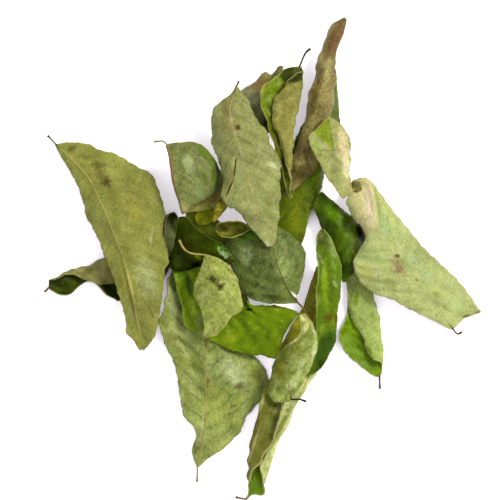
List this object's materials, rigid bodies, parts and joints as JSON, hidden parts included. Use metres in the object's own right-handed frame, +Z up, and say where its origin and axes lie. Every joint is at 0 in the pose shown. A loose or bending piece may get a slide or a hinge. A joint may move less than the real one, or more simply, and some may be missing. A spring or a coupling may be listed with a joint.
{
  "type": "curry leaf sprig",
  "caption": "Dried curry leaf sprig lying flat: a thin rachis under a loose heap of curled, folded and rolled leaflets with short stalks.",
  "frame": {"origin": "middle of the heap's footprint, on the surface that it lies on", "axes": "+Z up from the surface, +Y along the longest extent of the heap"},
  "size_m": [0.0962, 0.1062, 0.0111],
  "materials": {
    "leaf_olive": "dry leaf underside, olive, matte, with fine net veins",
    "leaf_grey_green": "dry leaf underside, grey-green, matte",
    "leaf_pale_green": "dry leaf underside, pale green, matte, speckled",
    "leaf_bright_green": "leaf upper face, bright green, satin gloss",
    "leaf_dark_green": "leaf upper face, dark green, satin gloss",
    "leaf_yellow_green": "yellow-green dry leaf, satin",
    "leaf_brown": "browned dry leaf, matte, mottled",
    "stalk_brown": "dry woody stem, matte"
  },
  "bodies": {
    "root": {"rachis": "stalk_brown", "leaf_far_left_rolled": "leaf_grey_green", "leaf_lower_left": "leaf_pale_green", "leaf_under_speckled": "leaf_bright_green", "leaf_under_middle": "leaf_dark_green", "leaf_right_lower": "leaf_pale_green", "leaf_bottom_pale": "leaf_yellow_green", "leaf_bottom_rolled": "leaf_dark_green", "leaf_olive_strip": "leaf_olive", "leaf_glossy_upper": "leaf_yellow_green", "leaf_dark_right": "leaf_dark_green", "leaf_top_grey": "leaf_bright_green", "leaf_bright_centre": "leaf_bright_green", "leaf_right_large": "leaf_pale_green", "leaf_bright_low": "leaf_bright_green", "leaf_round_dark": "leaf_dark_green", "leaf_small_oval": "leaf_yellow_green", "leaf_under_upper_left": "leaf_olive", "leaf_upper_left": "leaf_grey_green", "leaf_brown_top": "leaf_brown", "leaf_dark_middle": "leaf_dark_green", "leaf_small_rolled": "leaf_yellow_green", "leaf_top_folded": "leaf_olive", "leaf_speckled": "leaf_pale_green", "leaf_pale_curled": "leaf_pale_green", "leaf_folded_right": "leaf_pale_green", "leaf_torn_yellow": "leaf_yellow_green", "leaf_centre": "leaf_grey_green", "leaf_left_large": "leaf_olive"}
  },
  "joints": []
}
